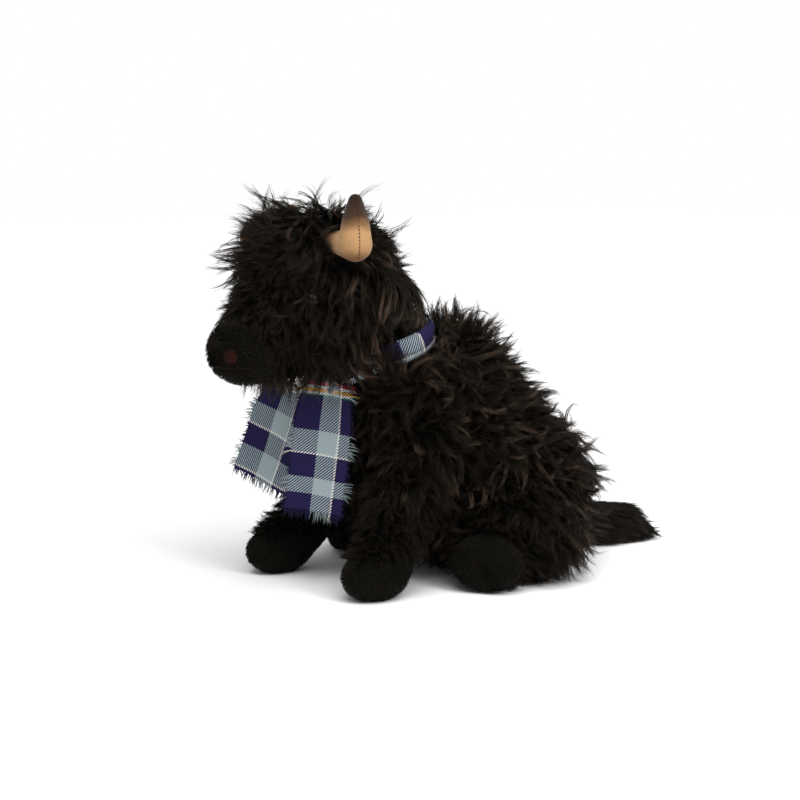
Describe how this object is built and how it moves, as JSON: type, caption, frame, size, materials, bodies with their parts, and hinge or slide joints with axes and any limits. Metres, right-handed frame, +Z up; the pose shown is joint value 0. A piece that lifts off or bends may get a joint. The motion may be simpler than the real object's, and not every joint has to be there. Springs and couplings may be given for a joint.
{
  "type": "plush highland cow",
  "caption": "Sitting stuffed highland cow with long dark fur, soft suede horns and a frayed tartan scarf, jointed softly at the neck, ears, legs and tail.",
  "frame": {"origin": "middle of the bounding box, on the surface that the animal sits on", "axes": "+Z up, the animal faces -Y, its left side is +X"},
  "size_m": [0.236, 0.4039, 0.29],
  "materials": {
    "long_fur": "long-pile plush, nearly black with brown tips",
    "short_pile": "short-pile plush, charcoal",
    "stuffing": "polyester fibre filling",
    "pellet_cloth": "woven bag of plastic pellets",
    "label_ribbon": "woven ribbon",
    "eye_plastic": "moulded, polished",
    "washer_plastic": "moulded",
    "embroidery": "satin stitch in matt thread",
    "horn_suede": "suede cloth, tip airbrushed brown",
    "seam_thread": "sewing thread",
    "tartan": "woven twill tartan with frayed edges"
  },
  "bodies": {
    "torso": {"torso_left_panel": "long_fur", "torso_right_panel": "long_fur", "belly_panel": "long_fur", "torso_stuffing": "stuffing", "pellet_bag": "pellet_cloth", "seam_label": "label_ribbon", "scarf_loop": "tartan", "scarf_knot": "tartan"},
    "neck": {"neck_plug": "long_fur"},
    "head": {"head_left_panel": "long_fur", "head_right_panel": "long_fur", "head_gusset": "long_fur", "chin_gusset": "long_fur", "muzzle_cover": "short_pile", "head_stuffing": "stuffing", "eye_left": "eye_plastic", "eye_right": "eye_plastic", "eye_washer_left": "washer_plastic", "eye_washer_right": "washer_plastic", "nostril_left": "embroidery", "nostril_right": "embroidery", "mouth_stitch": "embroidery"},
    "horn_left": {"horn_left_skin": "horn_suede", "horn_left_stuffing": "stuffing", "horn_left_seam": "seam_thread"},
    "horn_right": {"horn_right_skin": "horn_suede", "horn_right_stuffing": "stuffing", "horn_right_seam": "seam_thread"},
    "ear_left": {"ear_left_fur": "long_fur", "ear_left_lining": "short_pile"},
    "ear_right": {"ear_right_fur": "long_fur", "ear_right_lining": "short_pile"},
    "foreleg_left": {"foreleg_left_sleeve": "long_fur", "forefoot_left_cover": "short_pile", "foreleg_left_stuffing": "stuffing"},
    "foreleg_right": {"foreleg_right_sleeve": "long_fur", "forefoot_right_cover": "short_pile", "foreleg_right_stuffing": "stuffing"},
    "hindleg_left": {"hindleg_left_sleeve": "long_fur", "hindfoot_left_cover": "short_pile", "hindfoot_left_sole": "short_pile", "hindleg_left_stuffing": "stuffing"},
    "hindleg_right": {"hindleg_right_sleeve": "long_fur", "hindfoot_right_cover": "short_pile", "hindfoot_right_sole": "short_pile", "hindleg_right_stuffing": "stuffing"},
    "tail_root": {"tail_root_core": "stuffing"},
    "tail": {"tail_fur": "long_fur", "tail_core": "stuffing"},
    "scarf_left": {"scarf_left_end": "tartan"},
    "scarf_right": {"scarf_right_end": "tartan"}
  },
  "joints": [
    {"name": "head_turn", "type": "hinge", "parent": "torso", "child": "neck", "pos_m": [0, -0.062, 0.178], "axis": [0, -0.4226, 0.9063], "range_deg": [-18, 18], "stiffness_Nm_per_rad": 2},
    {"name": "head_nod", "type": "hinge", "parent": "neck", "child": "head", "pos_m": [0, -0.062, 0.178], "axis": [1, 0, 0], "range_deg": [-10, 10], "stiffness_Nm_per_rad": 3},
    {"name": "horn_left_fold", "type": "hinge", "parent": "head", "child": "horn_left", "pos_m": [0.034, -0.125, 0.255], "axis": [-1, 0, 0], "range_deg": [-8, 72]},
    {"name": "horn_right_fold", "type": "hinge", "parent": "head", "child": "horn_right", "pos_m": [-0.034, -0.125, 0.255], "axis": [-1, 0, 0], "range_deg": [-72, 0]},
    {"name": "ear_left_flap", "type": "hinge", "parent": "head", "child": "ear_left", "pos_m": [0.053, -0.1, 0.24], "axis": [0.1736, -0.9848, 0], "range_deg": [-5, 32], "stiffness_Nm_per_rad": 0.05},
    {"name": "ear_right_flap", "type": "hinge", "parent": "head", "child": "ear_right", "pos_m": [-0.053, -0.1, 0.24], "axis": [0.1736, 0.9848, 0], "range_deg": [-5, 32], "stiffness_Nm_per_rad": 0.05},
    {"name": "foreleg_left_spread", "type": "hinge", "parent": "torso", "child": "foreleg_left", "pos_m": [0.046, -0.048, 0.105], "axis": [0, -1, 0], "range_deg": [0, 20], "stiffness_Nm_per_rad": 1.5},
    {"name": "foreleg_right_spread", "type": "hinge", "parent": "torso", "child": "foreleg_right", "pos_m": [-0.046, -0.048, 0.105], "axis": [0, 1, 0], "range_deg": [0, 20], "stiffness_Nm_per_rad": 1.5},
    {"name": "hindleg_left_splay", "type": "hinge", "parent": "torso", "child": "hindleg_left", "pos_m": [0.07, 0.022, 0.042], "axis": [0, 0, 1], "range_deg": [-12, 20], "stiffness_Nm_per_rad": 1.5},
    {"name": "hindleg_right_splay", "type": "hinge", "parent": "torso", "child": "hindleg_right", "pos_m": [-0.07, 0.022, 0.042], "axis": [0, 0, -1], "range_deg": [-12, 20], "stiffness_Nm_per_rad": 1.5},
    {"name": "tail_swing", "type": "hinge", "parent": "torso", "child": "tail_root", "pos_m": [0.008, 0.104, 0.026], "axis": [0, 0, 1], "range_deg": [-20, 20], "stiffness_Nm_per_rad": 0.3},
    {"name": "tail_lift", "type": "hinge", "parent": "tail_root", "child": "tail", "pos_m": [0.008, 0.104, 0.026], "axis": [0.9595, -0.2816, 0], "range_deg": [0, 25], "stiffness_Nm_per_rad": 0.4},
    {"name": "scarf_left_swing", "type": "hinge", "parent": "torso", "child": "scarf_left", "pos_m": [0.006, -0.1, 0.1395], "axis": [-0.766, -0.6428, 0], "range_deg": [0, 60]},
    {"name": "scarf_right_swing", "type": "hinge", "parent": "torso", "child": "scarf_right", "pos_m": [-0.03, -0.11, 0.139], "axis": [-0.9397, -0.342, 0], "range_deg": [0, 20]}
  ]
}
